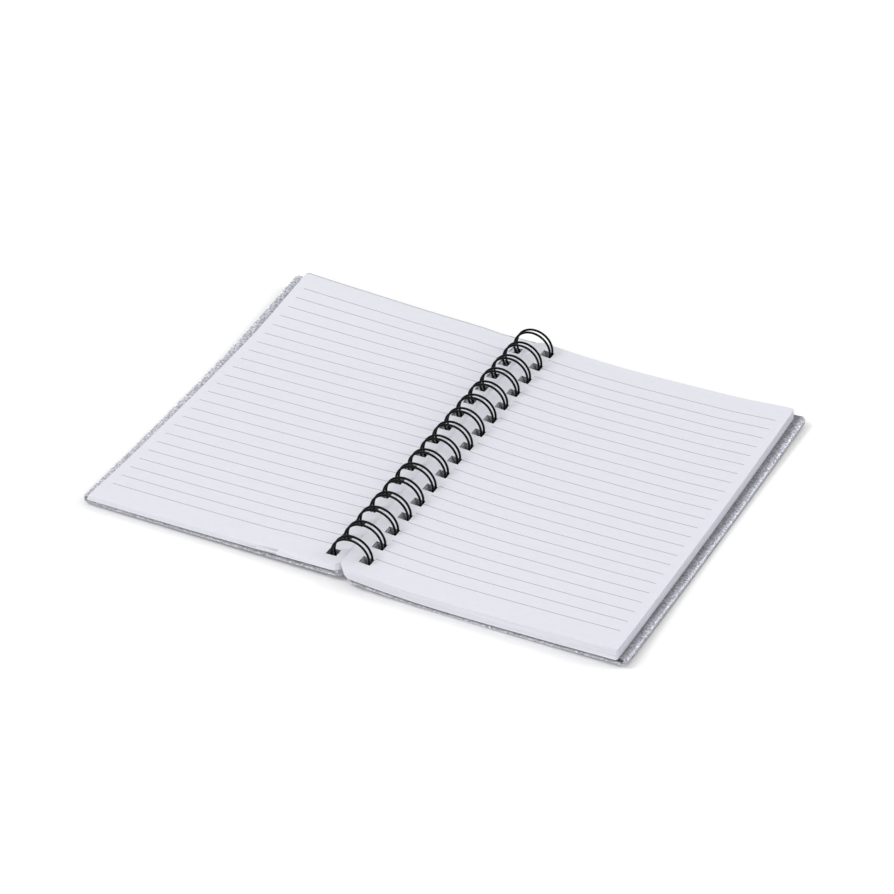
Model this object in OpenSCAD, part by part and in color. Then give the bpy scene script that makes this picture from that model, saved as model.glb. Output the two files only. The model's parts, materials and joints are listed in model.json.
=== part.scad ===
// Wire-bound notebook lying open: two felt covers, ruled leaves and a twin-loop wire.
// X runs across the open spread, Y along the binding and Z up from the table.
// The origin is on the table, under the middle of the binding.

/* [Leaves] */
// Width of a leaf, from its bound edge to its outer edge
leaf_w = 133; // [125:0.5:176]
// Length of a leaf along the binding
leaf_l = 209; // [110:0.5:230]
// Thickness of the block of leaves on the back cover
block_t = 5.2; // [1:0.1:6.4]
// Thickness of the leaves turned over onto the front cover
turned_t = 0.7; // [0.3:0.1:2]
// Radius of a leaf's two outer corners
leaf_outer_r = 1.5; // [0.5:0.5:10]
// Radius of a leaf's two bound corners
leaf_bound_r = 5; // [0.5:0.5:5]
// How far the turned leaves are drawn out from the front cover's bound edge
turned_draw = 0.5; // [0.4:0.1:2]

/* [Covers] */
// How much wider a cover is than a leaf
cover_side = 3.6; // [2.4:0.2:8]
// How far a cover stands past the leaves at each end of the binding
cover_end = 1.5; // [0.5:0.5:6]
// Thickness of the felt
cover_t = 2.7; // [1:0.1:3.2]
// Radius of a cover's two outer corners
cover_outer_r = 3.5; // [0.5:0.5:12]
// Radius of a cover's two bound corners
cover_bound_r = 5; // [0.5:0.5:5]
// Gap between the bound edges of the two covers
spine_gap = 0.8; // [0.4:0.1:2]

/* [Holes] */
// Distance from a leaf's front end to the middle of its first hole
front_margin = 7; // [6.5:0.5:10]
// Least distance from a leaf's back end to the middle of its last hole
back_margin = 8; // [8:0.5:13]
// Distance from one hole to the next along the binding
hole_pitch = 12.7; // [12:0.1:14]
// Size of a hole across the binding
hole_w = 5.4; // [4.8:0.1:8]
// Size of a hole along the binding
hole_l = 4.9; // [4.8:0.1:6]
// Strip of paper between a leaf's holes and its bound edge
leaf_strip = 6; // [4:0.1:6.4]
// Strip of felt between a cover's holes and its bound edge
cover_strip = 4.4; // [3.6:0.1:4.8]

/* [Wire] */
// Diameter of the binding wire
wire_d = 1; // [0.7:0.05:1.05]
// Radius of a loop, to the middle of the wire
loop_r = 9.5; // [9.3:0.1:12]
// Distance between the two wires of a loop, middle to middle
twin_w = 2.9; // [2.4:0.1:3.1]
// Bend radius where a loop's wire turns into the link to the next loop
link_bend_r = 1.45; // [1:0.05:1.6]
// Straight end of the wire beyond the first and the last loop
wire_tail = 1.2; // [0.5:0.1:3]

/* [Lie] */
// Distance from the binding over which the front cover bends down to the table
front_bend = 125; // [60:1:130]
// Distance from the binding over which the back cover bends down to the table
back_bend = 60; // [40:1:130]
// Space between the wire and what lies in or around it
wire_play = 0.2; // [0.1:0.05:0.3]
// How far each half slides along the wire, the front half to +Y and the back half to -Y
half_shift = 0.3; // [0:0.05:0.4]

/* [Hidden] */

$fn = 60;
wire_fn = 16;
felt_colour = "darkgray";
paper_colour = "lavender";
wire_colour = "black";

cover_w = leaf_w + cover_side;
cover_l = leaf_l + 2 * cover_end;

// As many holes and loops as the leaves' length has room for
hole_count = floor((leaf_l - front_margin - back_margin) / hole_pitch) + 1;
first_y = front_margin - leaf_l / 2;
last_y = first_y + (hole_count - 1) * hole_pitch;

// Each loop runs all the way round from its lowest point to its tip, which closes beside the
// links on a line from the loop's middle, 7 across and 24 down
wire_r = wire_d / 2;
tip_bend_r = twin_w / 2;
tip_line = [7, -24];
tip_angle = atan2(tip_line.y, tip_line.x);

// The loops and their tips lie on the table
tip_drop = tip_bend_r * cos(tip_angle) - loop_r * sin(tip_angle);
axis_z = max(loop_r, tip_drop) + wire_r;

// The strip between the holes and a cover's bound edge lies in the loops, just above the wire
strip_x = spine_gap / 2 + cover_strip;
strip_z = axis_z - sqrt(pow(loop_r - wire_r, 2) - pow(strip_x, 2)) + wire_play;
front_rise = strip_z / pow(1 - strip_x / front_bend, 2);
back_rise = strip_z / pow(1 - strip_x / back_bend, 2);

// The block's leaves lean over the binding, 7 across for each 24 up, and the top leaf's holes
// just take in the outer side of the loops
lean_line = [7, 24];
block_lean = block_t * lean_line.x / lean_line.y;
block_x = loop_r + wire_r + wire_play - hole_w - leaf_strip + block_lean;
turned_x = spine_gap / 2 + turned_draw;

// What trims a sheet, or is trimmed to it, runs this far past its edges
edge_spare = 2;
prism_h = leaf_w;

// Underside of a bent cover, a distance x from the binding, as straight facets of a parabola
bend_steps = 10;
function bend_curve(u, rise) = u < 1 ? rise * pow(1 - u, 2) : 0;
function bend_z(x, bend, rise) =
    let (
        u = floor(x / bend * bend_steps) / bend_steps,
        share = (x / bend - u) * bend_steps
    )
    bend_curve(u, rise) * (1 - share) + bend_curve(u + 1 / bend_steps, rise) * share;

// Distances from x0 to x1 at which the bent outline has a corner
function bend_places(x0, x1, bend) = concat(
    [x0],
    [for (i = [0 : bend_steps]) if (i * bend / bend_steps > x0) i * bend / bend_steps],
    [x1]
);

// One half's sheet of felt or paper, built on the +X side of the binding as its outline cut to
// the bent profile: x0 is its bound edge, z0 the height of its underside where it lies flat
module sheet(x0, w, l, z0, t, bend, rise, bound_r, outer_r, strip, lean_angle = 0) {
    places = bend_places(x0 - edge_spare, x0 + w + edge_spare, bend);
    last = len(places) - 1;
    underside = [for (x = places) [x, z0 + bend_z(x, bend, rise)]];
    topside = [for (i = [0 : last]) underside[last - i] + [0, t]];
    bound_rise = bend_z(x0, bend, rise);
    intersection() {
        rotate([90, 0, 0])
            linear_extrude(height = l + 2 * edge_spare, center = true)
                polygon(concat(underside, topside));
        translate([x0, 0, z0 + bound_rise])
            rotate([0, -lean_angle, 0])
                linear_extrude(height = prism_h, center = true)
                    outline(
                        w * cos(lean_angle) - bound_rise * sin(lean_angle),
                        l, bound_r, outer_r, strip, cos(lean_angle)
                    );
    }
}

// Outline of a sheet, with its bound edge at X 0 and its holes narrower across a leaning stack
module outline(w, l, bound_r, outer_r, strip, hole_scale) {
    outer_x = round(w * 100) / 100;
    difference() {
        translate([0, -l / 2])
            square([outer_x, l]);
        corner_cuts(l, bound_r);
        translate([outer_x, 0])
            mirror([1, 0])
                corner_cuts(l, outer_r);
        for (i = [0 : hole_count - 1])
            translate([strip * hole_scale, first_y + i * hole_pitch - hole_l / 2])
                square([hole_w * hole_scale, hole_l]);
    }
}

// Cuts that round the two corners at the ends of an edge of length l
module corner_cuts(l, r) {
    for (side = [0, 1])
        mirror([0, side])
            translate([0, l / 2 - r])
                difference() {
                    translate([-edge_spare, 0])
                        square([r + edge_spare, r + edge_spare]);
                    translate([r, 0])
                        circle(r);
                }
}

module front_half() {
    translate([0, half_shift, 0])
        mirror([1, 0, 0])
            children();
}

module back_half() {
    translate([0, -half_shift, 0])
        children();
}

module front_cover() {
    color(felt_colour)
        front_half()
            sheet(spine_gap / 2, cover_w, cover_l, 0, cover_t, front_bend, front_rise,
                cover_bound_r, cover_outer_r, cover_strip);
}

module back_cover() {
    color(felt_colour)
        back_half()
            sheet(spine_gap / 2, cover_w, cover_l, 0, cover_t, back_bend, back_rise,
                cover_bound_r, cover_outer_r, cover_strip);
}

module turned_leaves() {
    color(paper_colour)
        front_half()
            sheet(turned_x, leaf_w, leaf_l, cover_t, turned_t, front_bend, front_rise,
                leaf_bound_r, leaf_outer_r, leaf_strip);
}

module leaf_block() {
    color(paper_colour)
        back_half()
            sheet(block_x, leaf_w, leaf_l, cover_t, block_t, back_bend, back_rise,
                leaf_bound_r, leaf_outer_r, leaf_strip,
                atan2(lean_line.x, lean_line.y));
}

// Moves to the middle of the wire at a loop's tip, with X outwards and Z round the loop
module at_tip() {
    translate([0, 0, axis_z])
        rotate([0, -tip_angle, 0])
            translate([loop_r, 0, 0])
                children();
}

// Wire bent round to a radius
module bent_wire(r, sweep = 360) {
    rotate_extrude(angle = sweep)
        translate([r, 0])
            circle(wire_r, $fn = wire_fn);
}

// The two parallel wires of one loop, joined by the round tip
module twin_loop() {
    translate([0, 0, axis_z])
        rotate([90, 0, 0])
            difference() {
                for (side = [-1, 1])
                    translate([0, 0, side * twin_w / 2])
                        bent_wire(loop_r);
                linear_extrude(height = 2 * twin_w, center = true)
                    polygon([[0, 0], [0, tip_line.y], tip_line]);
            }
    at_tip()
        rotate([90, 0, 90])
            rotate([0, 0, 180])
                bent_wire(tip_bend_r, 180);
}

// Distance from a loop's middle to its links' straight wire, and the length of that wire
link_start = twin_w / 2 + link_bend_r;
link_l = hole_pitch - 2 * link_start;

// Straight wire along the binding, centred on Y 0, between the loops' bends
module link(length) {
    translate([link_bend_r, 0, axis_z - loop_r])
        rotate([90, 0, 0])
            cylinder(h = length, r = wire_r, center = true, $fn = wire_fn);
}

// The quarter bend at the +Y end of such a link, into a loop's wire
module link_bend(length) {
    translate([0, length / 2, axis_z - loop_r])
        bent_wire(link_bend_r, 90);
}

module wire_binding() {
    last = hole_count - 1;
    color(wire_colour) {
        for (i = [0 : last])
            translate([0, first_y + i * hole_pitch, 0])
                twin_loop();
        for (i = [0 : last - 1])
            translate([0, first_y + (i + 0.5) * hole_pitch, 0]) {
                link(link_l);
                link_bend(link_l);
                mirror([0, 1, 0])
                    link_bend(link_l);
            }
        translate([0, first_y - link_start - wire_tail / 2, 0]) {
            link(wire_tail);
            link_bend(wire_tail);
        }
        translate([0, last_y + link_start + wire_tail / 2, 0])
            mirror([0, 1, 0]) {
                link(wire_tail);
                link_bend(wire_tail);
            }
    }
}

front_cover();
back_cover();
turned_leaves();
leaf_block();
wire_binding();
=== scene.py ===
import json
import math

import bmesh
import bpy
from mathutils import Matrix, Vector, noise


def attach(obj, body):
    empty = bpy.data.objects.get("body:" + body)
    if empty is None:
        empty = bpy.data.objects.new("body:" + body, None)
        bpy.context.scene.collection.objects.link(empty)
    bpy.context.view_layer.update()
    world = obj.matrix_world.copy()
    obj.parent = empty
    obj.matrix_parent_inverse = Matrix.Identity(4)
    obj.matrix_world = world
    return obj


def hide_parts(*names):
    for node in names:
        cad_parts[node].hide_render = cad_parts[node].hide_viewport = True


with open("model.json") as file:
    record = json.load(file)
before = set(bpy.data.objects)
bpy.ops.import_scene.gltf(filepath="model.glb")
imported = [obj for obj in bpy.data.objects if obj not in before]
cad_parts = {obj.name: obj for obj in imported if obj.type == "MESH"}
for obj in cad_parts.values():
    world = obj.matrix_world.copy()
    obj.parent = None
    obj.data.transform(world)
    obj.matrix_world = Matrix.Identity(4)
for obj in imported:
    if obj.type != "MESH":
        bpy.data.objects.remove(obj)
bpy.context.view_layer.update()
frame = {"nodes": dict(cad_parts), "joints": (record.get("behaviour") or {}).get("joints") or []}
mm = 0.001

# the wire's row of loops, which every sheet's holes follow
axisZ = frame["joints"][0]["pos_m"][2]
loopRow = {"count": 16, "pitch": 12.7 * mm, "firstY": -97.5 * mm}
loopYs = [loopRow["firstY"] + i * loopRow["pitch"] for i in range(loopRow["count"])]
print("frame loaded:", ", ".join(sorted(frame["nodes"])))


# shared helpers

def mix(ends, share):
    return ends[0] + (ends[1] - ends[0]) * share


def smoothStep(low, high, value):
    share = min(1.0, max(0.0, (value - low) / (high - low)))
    return share * share * (3 - 2 * share)


def addPiece(name, data):
    piece = bpy.data.objects.new(name, data)
    bpy.context.scene.collection.objects.link(piece)
    return piece


def plainMesh(name, source):
    # the evaluated object as a mesh of its own, after which the source is removed
    bpy.context.view_layer.update()
    evaluated = source.evaluated_get(bpy.context.evaluated_depsgraph_get())
    data = bpy.data.meshes.new_from_object(evaluated)
    data.name = name
    bpy.data.objects.remove(source)
    return data


def outwardNormals(data):
    mesh = bmesh.new()
    mesh.from_mesh(data)
    bmesh.ops.recalc_face_normals(mesh, faces=mesh.faces)
    mesh.to_mesh(data)
    mesh.free()


# node trees

def addNode(tree, kind, inputs=None, **settings):
    node = tree.nodes.new(kind)
    for name, value in settings.items():
        setattr(node, name, value)
    for socket, value in (inputs or {}).items():
        if isinstance(value, bpy.types.NodeSocket):
            tree.links.new(value, node.inputs[socket])
        else:
            node.inputs[socket].default_value = value
    return node


def newGroup(name, kind, inputs, outputs):
    # a shader or geometry group, with the sockets to read from and to write to
    group = bpy.data.node_groups.new(name, kind + "NodeTree")
    for direction, sockets in (("INPUT", inputs), ("OUTPUT", outputs)):
        for title, value in sockets.items():
            group.interface.new_socket(title, in_out=direction, socket_type="NodeSocket" + value)
    start = addNode(group, "NodeGroupInput").outputs
    end = addNode(group, "NodeGroupOutput").inputs
    return group, start, end


def mathNode(tree, operation, first, second=0.0, third=0.0):
    inputs = {0: first, 1: second, 2: third}
    return addNode(tree, "ShaderNodeMath", inputs, operation=operation).outputs[0]


def vectorNode(tree, operation, first, second):
    return addNode(tree, "ShaderNodeVectorMath", {0: first, 1: second}, operation=operation).outputs[0]


def scaled(tree, vector, factor):
    inputs = {0: vector, "Scale": factor}
    return addNode(tree, "ShaderNodeVectorMath", inputs, operation="SCALE").outputs[0]


def noiseNode(tree, vector, scale, detail, roughness=0.5):
    # settings whose names end in Noise are a scale, a detail and, where given, a roughness
    inputs = {"Vector": vector, "Scale": scale, "Detail": detail, "Roughness": roughness}
    return addNode(tree, "ShaderNodeTexNoise", inputs).outputs


def objectPlaces(tree):
    return addNode(tree, "ShaderNodeTexCoord").outputs["Object"]


def flatPlaces(tree):
    # X and Y on a sheet as it was before it was laid
    flat = addNode(tree, "ShaderNodeUVMap", uv_map="sheetUv").outputs[0]
    return addNode(tree, "ShaderNodeSeparateXYZ", {0: flat}).outputs


def insideMask(tree, ranges):
    # 1 where each value lies between its low and its high limit
    mask = 1.0
    for value, low, high in ranges:
        for operation, limit in (("GREATER_THAN", low), ("LESS_THAN", high)):
            mask = mathNode(tree, "MULTIPLY", mask, mathNode(tree, operation, value, limit))
    return mask


def colourRamp(tree, factor, places, colours):
    ramp = addNode(tree, "ShaderNodeValToRGB", {"Fac": factor})
    elements = ramp.color_ramp.elements
    while len(elements) < len(places):
        elements.new(0.5)
    for element, place, colour in zip(elements, places, colours):
        element.position = place
        element.color = (*colour, 1)
    return ramp.outputs["Color"]


def newMaterial(name, preview, surface):
    # surface holds the shader's plain values
    material = bpy.data.materials.new(name)
    material.use_nodes = True
    material.diffuse_color = (*preview, 1)
    shader = material.node_tree.nodes["Principled BSDF"]
    for socket, value in surface.items():
        shader.inputs[socket].default_value = value
    return material, material.node_tree, shader


def addBump(tree, shader, height, bump):
    inputs = {"Height": height, "Strength": bump["strength"], "Distance": bump["depth"]}
    relief = addNode(tree, "ShaderNodeBump", inputs)
    tree.links.new(relief.outputs[0], shader.inputs["Normal"])


def treeInputs(modifier, values):
    for item in modifier.node_group.interface.items_tree:
        if item.item_type == "SOCKET" and item.in_out == "INPUT" and item.name in values:
            modifier[item.identifier] = values[item.name]


# sheets with rounded corners and a row of holes

# a face whose normal rises or falls by less than this is on a sheet's cut edge
faceSlope = 0.6


def steppedLines(stops):
    # places from the first stop to the last, each stretch cut in steps no longer than its own
    rounding = 1e-6
    lines = []
    for (low, step), (high, _) in zip(stops, stops[1:]):
        count = max(1, math.ceil((high - low) / step - rounding))
        lines += [low + (high - low) * i / count for i in range(count)]
    return lines + [stops[-1][0]]


def roundedCorner(u, v, size, radii):
    # turns the square corner of the grid into a quarter circle
    width, length = size
    radius = radii[0] if u < width / 2 else radii[1]
    signU = -1 if u < width / 2 else 1
    signV = -1 if v < length / 2 else 1
    centreU = radius if signU < 0 else width - radius
    centreV = radius if signV < 0 else length - radius
    p = signU * (u - centreU) / radius
    q = signV * (v - centreV) / radius
    if p <= 0 or q <= 0:
        return u, v
    return (
        centreU + signU * radius * p * math.sqrt(1 - q * q / 2),
        centreV + signV * radius * q * math.sqrt(1 - p * p / 2),
    )


def sheetMesh(name, plan, thickness, frontY, rowShift):
    # a flat sheet: X from the bound edge, Y from the front
    width, length = plan["width"], plan["length"]
    boundR, outerR = plan["boundRadius"], plan["outerRadius"]
    boundStep, outerStep = boundR / 5, outerR / 3
    holeStart, holeEnd = plan["holeMargin"], plan["holeMargin"] + plan["holeWidth"]
    uStops = [(place, plan["edgeStep"]) for place in (0, holeStart, holeEnd)]
    uStops += [(2 * holeEnd, plan["step"]), (width - outerR, outerStep), (width, 0)]
    middles = [loopY + rowShift - frontY for loopY in loopYs]
    holes = [(middle - plan["holeLength"] / 2, middle + plan["holeLength"] / 2) for middle in middles]
    vStops = [(0, boundStep), (boundR, plan["alongStep"]), (length - boundR, boundStep), (length, 0)]
    vStops += [(end, plan["alongStep"]) for hole in holes for end in hole]
    uLines, vLines = steppedLines(uStops), steppedLines(sorted(vStops))

    def isHole(i, j):
        if not (0 <= i < len(uLines) - 1 and 0 <= j < len(vLines) - 1):
            return True
        u, v = (uLines[i] + uLines[i + 1]) / 2, (vLines[j] + vLines[j + 1]) / 2
        return holeStart < u < holeEnd and any(low < v < high for low, high in holes)

    mesh = bmesh.new()
    uvLayer = mesh.loops.layers.uv.new("sheetUv")
    corners = {}

    def corner(i, j, level):
        if (i, j, level) not in corners:
            u, v = roundedCorner(uLines[i], vLines[j], (width, length), (boundR, outerR))
            corners[i, j, level] = mesh.verts.new((u, v, level * thickness))
        return corners[i, j, level]

    def addFace(*places):
        face = mesh.faces.new([corner(*place) for place in places])
        for loop in face.loops:
            loop[uvLayer].uv = loop.vert.co.xy

    # the four sides of a cell of the grid: its neighbour there, and the side's two ends
    sides = (
        ((0, -1), (0, 0), (1, 0)), ((1, 0), (1, 0), (1, 1)),
        ((0, 1), (1, 1), (0, 1)), ((-1, 0), (0, 1), (0, 0)),
    )
    for i in range(len(uLines) - 1):
        for j in range(len(vLines) - 1):
            if isHole(i, j):
                continue
            addFace((i, j, 1), (i + 1, j, 1), (i + 1, j + 1, 1), (i, j + 1, 1))
            addFace((i, j, 0), (i, j + 1, 0), (i + 1, j + 1, 0), (i + 1, j, 0))
            for (di, dj), start, end in sides:
                if isHole(i + di, j + dj):
                    a = (i + start[0], j + start[1])
                    b = (i + end[0], j + end[1])
                    addFace((*a, 0), (*b, 0), (*b, 1), (*a, 1))
    data = bpy.data.meshes.new(name)
    mesh.to_mesh(data)
    mesh.free()
    return data


# how each half of the open book lies: slant moves a cover's outer edge back, turn moves that
# edge's back end out and its front end in; the end shadings, foot first and top second, are
# painted light at the foot and a painted shadow at the top of a cover's front and back cut edges,
# where the leaves overhang, and the felt rim is painted shade or light on the felt beside the
# leaves that turns into painted light towards the outer edge

halves = {
    "front": {
        "side": -1, "body": "front_half", "shiftY": 0.3 * mm,
        "coverFrontY": -105.4 * mm, "coverWidth": 136.6 * mm, "coverLength": 210.3 * mm,
        "slant": 1.4 * mm, "turn": 0.6 * mm, "paintedEndShading": (1.45, 0.15),
        "rise": 2.75 * mm, "bendLength": 137 * mm, "bendPower": 1.2,
        "backLift": 4.3 * mm, "frontLift": 1.5 * mm,
        "paintedFeltRim": {"inner": 1.2, "outer": 1.35, "from": 132 * mm, "to": 135 * mm},
    },
    "back": {
        "side": 1, "body": "back_half", "shiftY": -0.3 * mm,
        "coverFrontY": -107.2 * mm, "coverWidth": 137.8 * mm, "coverLength": 210.6 * mm,
        "slant": 0.0, "turn": 0.0, "paintedEndShading": (1.8, -0.45),
        "rise": 3.09 * mm, "bendLength": 60 * mm, "bendPower": 2.0,
        "backLift": 1.9 * mm, "frontLift": 1.75 * mm,
        "paintedFeltRim": {"inner": 0.55, "outer": 1.3, "from": 134.6 * mm, "to": 136.8 * mm},
    },
}

# the sheets as they are when flat: the steps of their grids are those across the middle, beside
# the holes and along the binding, and paperShare is what a leaf fills of its place in the stack
coverPlan = {
    "boundRadius": 5 * mm, "outerRadius": 2.4 * mm, "thickness": 2.7 * mm, "spineGap": 0.8 * mm,
    "holeMargin": 4.4 * mm, "holeWidth": 5.4 * mm, "holeLength": 4.9 * mm,
    "step": 5 * mm, "edgeStep": 1.8 * mm, "alongStep": 1.8 * mm,
    "bevelWidth": 0.75 * mm, "bevelSegments": 3, "bevelAngle": 50,
    # the side shadings are painted shade at the foot of a cover's outer cut edge and painted light at its
    # top
    "swell": 0.12 * mm, "swellScale": 90, "rim": 0.2 * mm, "paintedSideShading": (0.15, 1.8),
}
leafPlan = {
    "width": 133 * mm, "length": 209 * mm, "boundRadius": 5 * mm, "outerRadius": 1.2 * mm,
    "holeMargin": 6.0 * mm, "holeWidth": 5.4 * mm, "holeLength": 4.9 * mm,
    "step": 11 * mm, "edgeStep": 3.5 * mm, "alongStep": 5 * mm,
    "paperShare": 0.96, "coverGap": 0.05 * mm,
}


def coverUnderside(half, x, y):
    # height of a cover's underside, a distance x out from the binding
    fall = max(0.0, 1 - x / half["bendLength"])
    along = y / (half["coverLength"] / 2)
    lift = half["backLift"] * max(0.0, along) ** 2 + half["frontLift"] * max(0.0, -along) ** 2
    return half["rise"] * fall ** half["bendPower"] + lift * (x / half["coverWidth"]) ** 2


# felt

felt = {
    "dark": (0.168, 0.169, 0.198), "middle": (0.446, 0.449, 0.500), "light": (0.790, 0.795, 0.860),
    "tones": (0.0, 0.5, 1.0), "toneStart": -2.07, "fleckGain": 2.2, "fibreGain": 2.4,
    "warpNoise": (260.0, 2.0), "warpReach": 3.5 * mm,
    "fibreNoise": (2400.0, 2.0, 0.6), "fibreStretch": (0.16, 1.0, 1.0),
    "fibreTurns": ((0.35, 0.0), (1.45, 3.1), (2.6, 7.7)),
    "fleckNoise": (1050.0, 3.0, 0.62), "fleckRelief": 0.5, "leastPaintedShade": 0.1,
    "surface": {
        "Roughness": 0.95, "Specular IOR Level": 0.15, "Sheen Weight": 0.25, "Sheen Roughness": 0.6,
    },
    "bump": {"strength": 0.9, "depth": 0.6 * mm},
}


def feltGroup():
    # pressed fibres of light and dark wool: tone for the colour, height for the bump
    outputs = {"Tone": "Float", "Height": "Float"}
    group, start, end = newGroup("pressedFelt", "Shader", {"Vector": "Vector"}, outputs)
    warp = noiseNode(group, start["Vector"], *felt["warpNoise"])["Color"]
    warp = scaled(group, vectorNode(group, "SUBTRACT", warp, (0.5, 0.5, 0.5)), felt["warpReach"])
    bent = vectorNode(group, "ADD", start["Vector"], warp)
    strands = []
    for angle, seed in felt["fibreTurns"]:
        turned = addNode(group, "ShaderNodeMapping", {
            "Vector": bent, "Location": (seed, 0, seed), "Rotation": (0, 0, angle),
            "Scale": felt["fibreStretch"],
        })
        strands.append(noiseNode(group, turned.outputs[0], *felt["fibreNoise"])["Fac"])
    fibres = mathNode(group, "MAXIMUM", mathNode(group, "MAXIMUM", strands[0], strands[1]), strands[2])
    flecks = noiseNode(group, bent, *felt["fleckNoise"])["Fac"]
    tone = mathNode(group, "MULTIPLY_ADD", flecks, felt["fleckGain"], felt["toneStart"])
    tone = mathNode(group, "MULTIPLY_ADD", fibres, felt["fibreGain"], tone)
    group.links.new(addNode(group, "ShaderNodeClamp", {"Value": tone}).outputs[0], end["Tone"])
    group.links.new(mathNode(group, "MULTIPLY_ADD", flecks, felt["fleckRelief"], fibres), end["Height"])
    return group


def feltMaterial(name, rim):
    # rim is painted shade or light on the felt beside the leaves and painted light at the outer edge, and
    # where one turns into the other
    material, tree, shader = newMaterial(name, felt["middle"], felt["surface"])
    inputs = {"Vector": objectPlaces(tree)}
    fibres = addNode(tree, "ShaderNodeGroup", inputs, node_tree=pressedFelt).outputs
    colours = (felt["dark"], felt["middle"], felt["light"])
    tone = colourRamp(tree, fibres["Tone"], felt["tones"], colours)
    # painted shade and light on the felt's top, by the distance out from the binding
    if rim:
        shade = addNode(tree, "ShaderNodeMapRange", {
            "Value": flatPlaces(tree)["X"], "From Min": rim["from"], "From Max": rim["to"],
            "To Min": rim["inner"], "To Max": rim["outer"],
        })
        tone = scaled(tree, tone, shade.outputs[0])
    # painted shade and painted light on the cut edges, from a vertex attribute on the cover, kept above a
    # least value
    cutShade = addNode(tree, "ShaderNodeAttribute", attribute_name="paintedEdgeShading").outputs["Fac"]
    tone = scaled(tree, tone, mathNode(tree, "MAXIMUM", cutShade, felt["leastPaintedShade"]))
    tree.links.new(tone, shader.inputs["Base Color"])
    addBump(tree, shader, fibres["Height"], felt["bump"])
    return material


# paper

paper = {
    "sheet": (0.730, 0.735, 0.790), "cloudy": (0.706, 0.711, 0.770), "line": (0.305, 0.308, 0.365),
    "cloudNoise": (320.0, 3.0), "cloudTones": (0.3, 0.7), "toothNoise": (3800.0, 2.0),
    # the edges' darkest tone between the leaves and the darker hole walls are painted shade
    "edge": (0.735, 0.740, 0.790), "paintedGapShade": 0.72, "edgeTooth": 0.3,
    "layerNoise": (1.0, 3.0, 0.7), "layerScale": (18.0, 18.0, 5200.0), "layerTones": (0.32, 0.55, 0.8),
    "holePaintedShade": 0.25, "holeSpare": 0.5 * mm,
    "surface": {"Roughness": 0.82, "Specular IOR Level": 0.25},
    "edgeSurface": {"Roughness": 0.9, "Specular IOR Level": 0.15},
    "bump": {"strength": 0.35, "depth": 0.12 * mm}, "edgeBump": {"strength": 0.6, "depth": 0.15 * mm},
}
ruling = {
    "count": 24, "pitch": 7.95 * mm, "first": 13.8 * mm, "thickness": 0.36 * mm,
    "outerMargin": 4.7 * mm, "boundMargin": 11.4 * mm,
}


def paperGroup():
    # the faint tooth and cloudiness of writing paper
    outputs = {"Cloud": "Float", "Height": "Float"}
    group, start, end = newGroup("paperTooth", "Shader", {"Vector": "Vector"}, outputs)
    group.links.new(noiseNode(group, start["Vector"], *paper["cloudNoise"])["Fac"], end["Cloud"])
    group.links.new(noiseNode(group, start["Vector"], *paper["toothNoise"])["Fac"], end["Height"])
    return group


def ruledMask(tree):
    # 1 on the printed lines of a leaf
    axes = flatPlaces(tree)
    steps = mathNode(tree, "SUBTRACT", axes["Y"], ruling["first"])
    steps = mathNode(tree, "DIVIDE", steps, ruling["pitch"])
    offLine = mathNode(tree, "ABSOLUTE", mathNode(tree, "SUBTRACT", steps, mathNode(tree, "ROUND", steps)))
    line = mathNode(tree, "LESS_THAN", offLine, ruling["thickness"] / ruling["pitch"] / 2)
    return mathNode(tree, "MULTIPLY", line, insideMask(tree, (
        (steps, -0.5, ruling["count"] - 0.5),
        (axes["X"], ruling["boundMargin"], leafPlan["width"] - ruling["outerMargin"]),
    )))


def holeMask(tree):
    # 1 on the walls of a leaf's holes, where the cut edges take painted shade
    axes = flatPlaces(tree)
    spare = paper["holeSpare"]
    holeEnd = leafPlan["holeMargin"] + leafPlan["holeWidth"]
    return insideMask(tree, (
        (axes["X"], leafPlan["holeMargin"] - spare, holeEnd + spare),
        (axes["Y"], spare, leafPlan["length"] - spare),
    ))


def paperMaterial():
    material, tree, shader = newMaterial("ruledPaper", paper["sheet"], paper["surface"])
    inputs = {"Vector": objectPlaces(tree)}
    grain = addNode(tree, "ShaderNodeGroup", inputs, node_tree=paperTooth).outputs
    colours = (paper["cloudy"], paper["sheet"])
    sheet = colourRamp(tree, grain["Cloud"], paper["cloudTones"], colours)
    # sockets 6 and 7 are the two colours that are mixed
    printed = addNode(tree, "ShaderNodeMix", {
        "Factor": ruledMask(tree), 6: sheet, 7: (*paper["line"], 1),
    }, data_type="RGBA")
    tree.links.new(printed.outputs[2], shader.inputs["Base Color"])
    addBump(tree, shader, grain["Height"], paper["bump"])
    return material


def paperEdgeMaterial():
    # the cut edges of the leaves, with layered lines whose darkest tone is painted shade between one leaf
    # and the next, and painted shade on the hole walls
    material, tree, shader = newMaterial("paperEdges", paper["edge"], paper["edgeSurface"])
    place = objectPlaces(tree)
    grain = addNode(tree, "ShaderNodeGroup", {"Vector": place}, node_tree=paperTooth).outputs
    layers = addNode(tree, "ShaderNodeMapping", {"Vector": place, "Scale": paper["layerScale"]})
    lines = noiseNode(tree, layers.outputs[0], *paper["layerNoise"])["Fac"]
    # the darkest tone of the layered lines is the edge colour darkened, as painted shade between the
    # leaves
    gapPaintedTone = tuple(paper["paintedGapShade"] * c for c in paper["edge"])
    tone = colourRamp(tree, lines, paper["layerTones"], (gapPaintedTone, paper["edge"], paper["sheet"]))
    # the hole walls are darkened as painted shade
    shade = mathNode(tree, "MULTIPLY_ADD", holeMask(tree), paper["holePaintedShade"] - 1, 1.0)
    tree.links.new(scaled(tree, tone, shade), shader.inputs["Base Color"])
    height = mathNode(tree, "MULTIPLY_ADD", grain["Height"], paper["edgeTooth"], lines)
    addBump(tree, shader, height, paper["edgeBump"])
    return material


# enamelled wire

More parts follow.
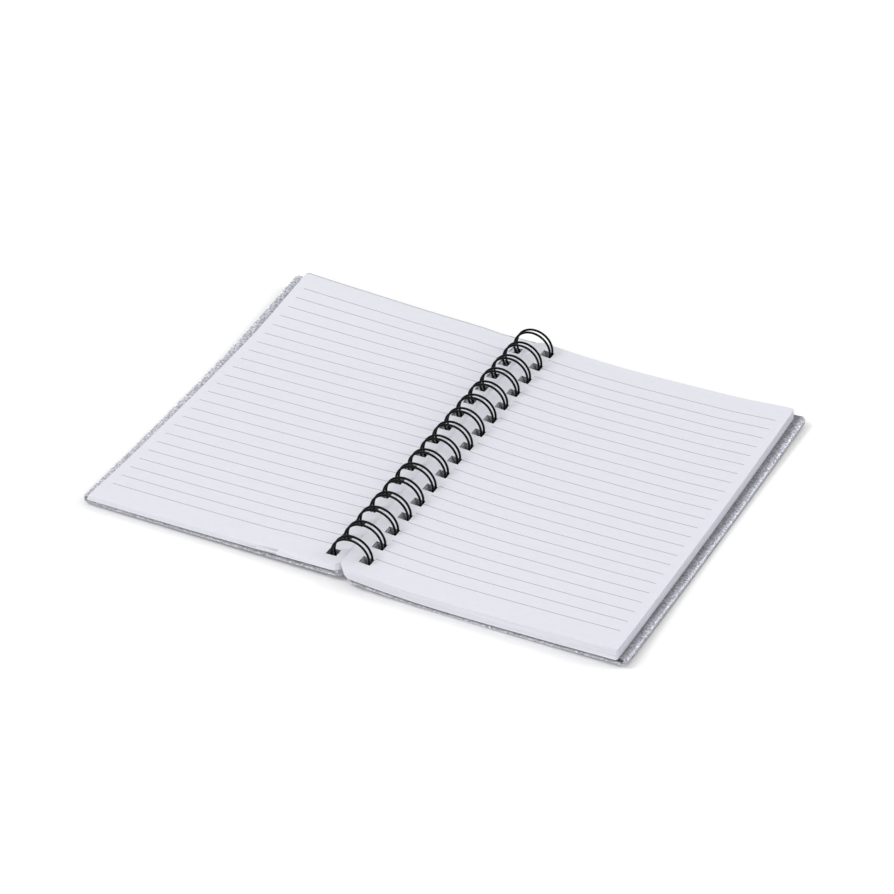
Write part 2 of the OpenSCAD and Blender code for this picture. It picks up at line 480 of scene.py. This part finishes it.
enamel = {
    "colour": (0.0018, 0.0018, 0.0024), "worn": (0.005, 0.005, 0.006), "roughness": (0.30, 0.46),
    "patchNoise": (700.0, 3.0), "patchTones": (0.35, 0.75), "dimpleNoise": (2600.0, 1.0),
    "surface": {"Specular IOR Level": 0.085}, "bump": {"strength": 0.15, "depth": 0.05 * mm},
}


def wireMaterial():
    material, tree, shader = newMaterial("blackEnamel", enamel["colour"], enamel["surface"])
    place = objectPlaces(tree)
    patches = noiseNode(tree, place, *enamel["patchNoise"])["Fac"]
    tone = colourRamp(tree, patches, enamel["patchTones"], (enamel["colour"], enamel["worn"]))
    tree.links.new(tone, shader.inputs["Base Color"])
    low, high = enamel["roughness"]
    tree.links.new(mathNode(tree, "MULTIPLY_ADD", patches, high - low, low), shader.inputs["Roughness"])
    addBump(tree, shader, noiseNode(tree, place, *enamel["dimpleNoise"])["Fac"], enamel["bump"])
    return material


pressedFelt = feltGroup()
paperTooth = paperGroup()
feltLook = feltMaterial("greyFelt", None)
wireLook = wireMaterial()
edgeLook = paperEdgeMaterial()
paperLook = paperMaterial()
print("materials made")


# felt covers

def paintedEdgeShadingAt(half, plan, u, v, level):
    # painted shade and painted light on a cover's cut edges, 1 elsewhere
    if min(v, plan["length"] - v) < plan["rim"]:
        return half["paintedEndShading"][level]
    if plan["width"] - u < plan["rim"]:
        return plan["paintedSideShading"][level]
    return 1.0


def feltCover(name, node, half):
    frontY = half["coverFrontY"]
    plan = dict(coverPlan, width=half["coverWidth"], length=half["coverLength"])
    flat = sheetMesh(name, plan, plan["thickness"], frontY, half["shiftY"])
    # painted shade and painted light for the cut edges, kept on the vertices
    paintedEdgeShading = flat.attributes.new("paintedEdgeShading", "FLOAT", "POINT").data
    for vertex in flat.vertices:
        u, v, z = vertex.co
        paintedEdgeShading[vertex.index].value = paintedEdgeShadingAt(half, plan, u, v, int(z > 0))
        out = u / plan["width"]
        x = plan["spineGap"] / 2 + u + half["turn"] * out * (2 * v / plan["length"] - 1)
        y = frontY + v + half["slant"] * out
        place = Vector((x * plan["swellScale"], y * plan["swellScale"], half["side"]))
        swell = plan["swell"] * noise.noise(place) if z > 0 else 0.0
        vertex.co = (half["side"] * x, y, coverUnderside(half, x, y) + z + swell)
    outwardNormals(flat)
    flat.materials.append(feltLook)
    flat.materials.append(feltMaterial(name + "Inside", half["paintedFeltRim"]))
    for polygon in flat.polygons:
        polygon.material_index = int(polygon.normal.z > faceSlope)
        polygon.use_smooth = True
    source = addPiece(name, flat)
    bevel = source.modifiers.new("softEdge", "BEVEL")
    bevel.width = plan["bevelWidth"]
    bevel.segments = plan["bevelSegments"]
    bevel.angle_limit = math.radians(plan["bevelAngle"])
    data = plainMesh(name, source)
    cover = addPiece(name, data)
    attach(cover, half["body"])
    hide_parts(node)


feltCover("frontCoverFelt", "front_cover", halves["front"])
feltCover("backCoverFelt", "back_cover", halves["back"])
print("felt covers made")


# stacks of ruled leaves

stacks = {
    "turned": {
        "half": halves["front"], "leaves": 6, "thickness": 0.7 * mm, "start": 0.9 * mm, "lean": 0.0,
        "frontY": -105.3 * mm, "jitter": 0.10 * mm, "seed": 3,
    },
    "block": {
        "half": halves["back"], "leaves": 26, "thickness": 5.2 * mm, "start": 0.32 * mm,
        "lean": 1.52 * mm, "frontY": -108.2 * mm, "jitter": 0.10 * mm, "seed": 8,
    },
}

# how the leaves lie, where u and v are shares of a leaf's width and length and height is its
# share of the stack: across and along are stretches of u and v, and the sizes in a pair are
# those at the front and the back end, or at the bound and the free edge
boundEdge = (0.0, 0.045)
freeOfWire = (0.1, 0.3)
turnedForm = {
    "outward": (-0.3 * mm, -3.1 * mm), "backward": (2.2 * mm, 1.6 * mm), "boundDraw": 0.9 * mm,
    "boundLift": (3.25 * mm, -0.4 * mm), "boundAcross": (0.05, 0.36),
    "fan": 0.3 * mm, "fanHeight": (0.3, 0.5), "fanAlong": (0.02, 0.12),
    "lift": 0.9 * mm, "liftAcross": (0.4, 1.0), "liftAlong": (0.15, 0.7),
    "curl": 1.7 * mm, "curlAcross": (0.08, 0.75), "curlAlong": (0.7, 1.0), "curlGain": 0.4,
}
blockForm = {
    "lowOutward": (0.9 * mm, -0.2 * mm), "topOutward": (2.5 * mm, 1.0 * mm),
    "topDraw": 0.7 * mm, "lowDraw": 1.0 * mm,
    "frontHeight": (0.94, 1.10), "backHeight": (0.70, 0.95), "backAcross": (0.75, 1.0),
    "fan": 0.3 * mm, "fanHeight": (0.2, 0.24), "fanAcross": (0.7, 1.0), "fanAlong": (0.0, 0.1),
}


def turnedLie(u, v, height):
    # loosely laid: turned a little, fanned at the front, up at the binding and at the free back corner
    form = turnedForm
    free = smoothStep(*freeOfWire, u)
    bound = 1 - smoothStep(*boundEdge, u)
    outward = free * mix(form["outward"], v) + bound * form["boundDraw"] * (1 - v) ** 2
    backward = free * height * mix(form["backward"], v)
    rise = (1 - smoothStep(*form["boundAcross"], u)) * mix(form["boundLift"], v) * height
    fan = form["fan"] * smoothStep(*form["fanHeight"], height) * (1 - smoothStep(*form["fanAlong"], v))
    lift = form["lift"] * smoothStep(*form["liftAcross"], u) * smoothStep(*form["liftAlong"], v)
    curl = form["curl"] * smoothStep(*form["curlAcross"], u) * smoothStep(*form["curlAlong"], v)
    return outward, backward, rise + fan * free + lift + curl * (1 + form["curlGain"] * u ** 4)


def blockLie(u, v, height):
    # the block is thicker at the front, where a few leaves stand apart at the free corner
    form = blockForm
    free = smoothStep(*freeOfWire, u)
    bound = 1 - smoothStep(*boundEdge, u)
    outward = free * mix((mix(form["lowOutward"], v), mix(form["topOutward"], v)), height)
    outward -= bound * (form["topDraw"] * height ** 2 + form["lowDraw"] * (1 - height) * (1 - v) ** 3)
    front = mix(form["frontHeight"], u)
    back = mix(form["backHeight"], smoothStep(*form["backAcross"], u))
    settle = stacks["block"]["thickness"] * height * (mix((front, back), v) - 1)
    fan = form["fan"] * smoothStep(*form["fanHeight"], height) * smoothStep(*form["fanAcross"], u)
    return outward, 0.0, settle + fan * (1 - smoothStep(*form["fanAlong"], v))


def stackTree():
    # lays copies of one leaf on each other, each a little out of line
    inputs = {
        "Geometry": "Geometry", "Leaves": "Int", "Leaf Step": "Vector", "Jitter": "Float",
        "Seed": "Int", "Paper": "Material",
    }
    tree, start, end = newGroup("leafStack", "Geometry", inputs, {"Geometry": "Geometry"})
    tree.is_modifier = True
    row = addNode(tree, "GeometryNodeMeshLine", {
        "Count": start["Leaves"], "Offset": start["Leaf Step"],
    }, mode="OFFSET").outputs[0]
    slip = addNode(tree, "FunctionNodeRandomValue", {
        0: scaled(tree, (-1, -1, 0), start["Jitter"]), 1: scaled(tree, (1, 1, 0), start["Jitter"]),
        "Seed": start["Seed"],
    }, data_type="FLOAT_VECTOR").outputs[0]
    moved = addNode(tree, "GeometryNodeSetPosition", {"Geometry": row, "Offset": slip}).outputs[0]
    copies = addNode(tree, "GeometryNodeInstanceOnPoints", {
        "Points": moved, "Instance": start["Geometry"],
    }).outputs[0]
    solid = addNode(tree, "GeometryNodeRealizeInstances", {"Geometry": copies}).outputs[0]
    dressed = addNode(tree, "GeometryNodeSetMaterial", {"Geometry": solid, "Material": start["Paper"]})
    tree.links.new(dressed.outputs[0], end["Geometry"])
    return tree


def leafStack(name, node, stack, tree, lie):
    half = stack["half"]
    leafStep = stack["thickness"] / stack["leaves"]
    thickness = leafStep * leafPlan["paperShare"]
    leaf = sheetMesh(name + "Leaf", leafPlan, thickness, stack["frontY"], half["shiftY"])
    source = addPiece(name, leaf)
    modifier = source.modifiers.new("stack", "NODES")
    modifier.node_group = tree
    treeInputs(modifier, {
        "Leaves": stack["leaves"], "Leaf Step": (-stack["lean"] / (stack["leaves"] - 1), 0.0, leafStep),
        "Jitter": stack["jitter"], "Seed": stack["seed"], "Paper": paperLook,
    })
    data = plainMesh(name, source)
    for vertex in data.vertices:
        u, v, z = vertex.co
        across, along = u / leafPlan["width"], v / leafPlan["length"]
        outward, backward, lift = lie(across, along, z / stack["thickness"])
        x = stack["start"] + u + outward
        y = stack["frontY"] + v + backward
        rest = coverUnderside(half, x, y) + coverPlan["thickness"] + leafPlan["coverGap"]
        vertex.co = (half["side"] * x, y, rest + z + lift)
    outwardNormals(data)
    data.materials.clear()
    data.materials.append(paperLook)
    data.materials.append(edgeLook)
    cutEdges = set()
    for polygon in data.polygons:
        polygon.use_smooth = abs(polygon.normal.z) > faceSlope
        polygon.material_index = 0 if polygon.use_smooth else 1
        if not polygon.use_smooth:
            cutEdges.update(polygon.edge_keys)
    for edge in data.edges:
        edge.use_edge_sharp = edge.key in cutEdges
    piece = addPiece(name, data)
    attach(piece, half["body"])
    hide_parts(node)


leafTree = stackTree()
leafStack("turnedLeaves", "turned_leaves", stacks["turned"], leafTree, turnedLie)
leafStack("leafBlock", "leaf_block", stacks["block"], leafTree, blockLie)
print("leaves made")


# twin-loop wire

wire = {
    "radius": 0.55 * mm, "loopRadius": 9.5 * mm, "twinWidth": 2.9 * mm, "linkBend": 1.45 * mm,
    "tail": 1.2 * mm, "tipLine": (7, -24), "arcStep": 6, "sides": 12,
}


def arcAngles(start, end):
    count = max(2, round(abs(end - start) / wire["arcStep"]))
    return [math.radians(start + (end - start) * i / count) for i in range(count + 1)]


def loopArc(y, start, end):
    # along one wire of a loop, round the binding's axis
    radius = wire["loopRadius"]
    return [(radius * math.cos(a), y, axisZ + radius * math.sin(a)) for a in arcAngles(start, end)]


def linkArc(y, start, end):
    # the bend between a loop and the straight wire to the next one
    radius = wire["linkBend"]
    lowZ = axisZ - wire["loopRadius"]
    return [(radius * math.cos(a), y + radius * math.sin(a), lowZ) for a in arcAngles(start, end)]


def tipArc(y, tip):
    # the closed tip of a loop, straight on from its two wires
    radius, reach = wire["loopRadius"], wire["twinWidth"] / 2
    return [(
        radius * math.cos(tip) + reach * math.cos(a) * math.sin(tip),
        y + reach * math.sin(a),
        axisZ + radius * math.sin(tip) - reach * math.cos(a) * math.cos(tip),
    ) for a in arcAngles(-90, 90)]


def wirePath():
    # one unbroken wire: up to each loop, round it to the tip, back and on to the next
    halfTwin = wire["twinWidth"] / 2
    linkStart = halfTwin + wire["linkBend"]
    tipX, tipZ = wire["tipLine"]
    tip = math.atan2(tipZ, tipX)
    tipAngle = math.degrees(tip) - 360
    points = []
    for y in loopYs:
        points += linkArc(y - linkStart, 0, 90)
        points += loopArc(y - halfTwin, -90, tipAngle)[1:]
        points += tipArc(y, tip)[1:-1]
        points += loopArc(y + halfTwin, tipAngle, -90)
        points += linkArc(y + linkStart, 270, 360)[1:]
    (startX, startY, startZ), (endX, endY, endZ) = points[0], points[-1]
    return [(startX, startY - wire["tail"], startZ), *points, (endX, endY + wire["tail"], endZ)]


def wireTree():
    # sweeps a round section along the wire's path and closes both ends
    inputs = {"Geometry": "Geometry", "Wire Radius": "Float", "Sides": "Int", "Enamel": "Material"}
    tree, start, end = newGroup("wireSweep", "Geometry", inputs, {"Geometry": "Geometry"})
    tree.is_modifier = True
    section = addNode(tree, "GeometryNodeCurvePrimitiveCircle", {
        "Resolution": start["Sides"], "Radius": start["Wire Radius"],
    }).outputs[0]
    tube = addNode(tree, "GeometryNodeCurveToMesh", {
        "Curve": start["Geometry"], "Profile Curve": section, "Fill Caps": True,
    }).outputs[0]
    solid = addNode(tree, "GeometryNodeRealizeInstances", {"Geometry": tube}).outputs[0]
    smooth = addNode(tree, "GeometryNodeSetShadeSmooth", {"Geometry": solid}).outputs[0]
    dressed = addNode(tree, "GeometryNodeSetMaterial", {"Geometry": smooth, "Material": start["Enamel"]})
    tree.links.new(dressed.outputs[0], end["Geometry"])
    return tree


def wireBinding():
    path = bpy.data.curves.new("wirePath", "CURVE")
    path.dimensions = "3D"
    spline = path.splines.new("POLY")
    points = wirePath()
    spline.points.add(len(points) - 1)
    for point, place in zip(spline.points, points):
        point.co = (*place, 1)
    source = addPiece("wirePath", path)
    modifier = source.modifiers.new("sweep", "NODES")
    modifier.node_group = wireTree()
    treeInputs(modifier, {"Wire Radius": wire["radius"], "Sides": wire["sides"], "Enamel": wireLook})
    data = plainMesh("wireBinding", source)
    outwardNormals(data)
    piece = addPiece("wireBinding", data)
    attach(piece, "binding")
    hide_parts("wire_binding")


wireBinding()
print("wire made")


# table, lights and camera

stage = {"size": 6.0, "colour": (0.99, 0.99, 0.99), "roughness": 0.9}
room = {"colour": (1.0, 1.0, 1.0), "strength": 0.68}
lights = {
    "key": {"place": (-1.7, -1.25, 2.45), "size": 1.2, "power": 32.4},
    "side": {"place": (2.2, 0.8, 1.7), "size": 1.4, "power": 17.8},
    "fill": {"place": (0.2, -2.4, 0.9), "size": 2.0, "power": 15.0},
}
view = {
    "target": (-6.5 * mm, 11.5 * mm, 0.0), "azimuth": 26.262, "elevation": 34.404,
    "distance": 1694.4 * mm, "lens": 145.0, "sensor": 36.0,
}


def layFloor():
    data = bpy.data.meshes.new("floor")
    out = stage["size"] / 2
    corners = [(-out, -out, 0), (out, -out, 0), (out, out, 0), (-out, out, 0)]
    data.from_pydata(corners, [], [(0, 1, 2, 3)])
    surface = {"Base Color": (*stage["colour"], 1), "Roughness": stage["roughness"]}
    data.materials.append(newMaterial("paleFloor", stage["colour"], surface)[0])
    floor = addPiece("floor", data)


def hangLight(name, light):
    # a round lamp that faces the middle of the table
    lamp = bpy.data.lights.new(name, "AREA")
    lamp.shape = "DISK"
    lamp.size = light["size"]
    lamp.energy = light["power"]
    place = Vector(light["place"])
    holder = addPiece(name, lamp)
    holder.location = place
    holder.rotation_euler = (-place).to_track_quat("-Z", "Y").to_euler()


def lightRoom():
    world = bpy.data.worlds.new("studio")
    world.use_nodes = True
    background = world.node_tree.nodes["Background"].inputs
    background["Color"].default_value = (*room["colour"], 1)
    background["Strength"].default_value = room["strength"]
    bpy.context.scene.world = world
    bpy.context.scene.view_settings.view_transform = "Standard"
    for name, light in lights.items():
        hangLight(name + "Light", light)


def setView():
    camera = bpy.data.cameras.new("camera")
    camera.lens = view["lens"]
    camera.sensor_width = view["sensor"]
    azimuth, elevation = math.radians(view["azimuth"]), math.radians(view["elevation"])
    back = Vector((
        math.sin(azimuth) * math.cos(elevation),
        -math.cos(azimuth) * math.cos(elevation),
        math.sin(elevation),
    ))
    holder = addPiece("camera", camera)
    holder.location = Vector(view["target"]) + back * view["distance"]
    holder.rotation_euler = back.to_track_quat("Z", "Y").to_euler()
    bpy.context.scene.camera = holder


layFloor()
lightRoom()
setView()
print("stage set")
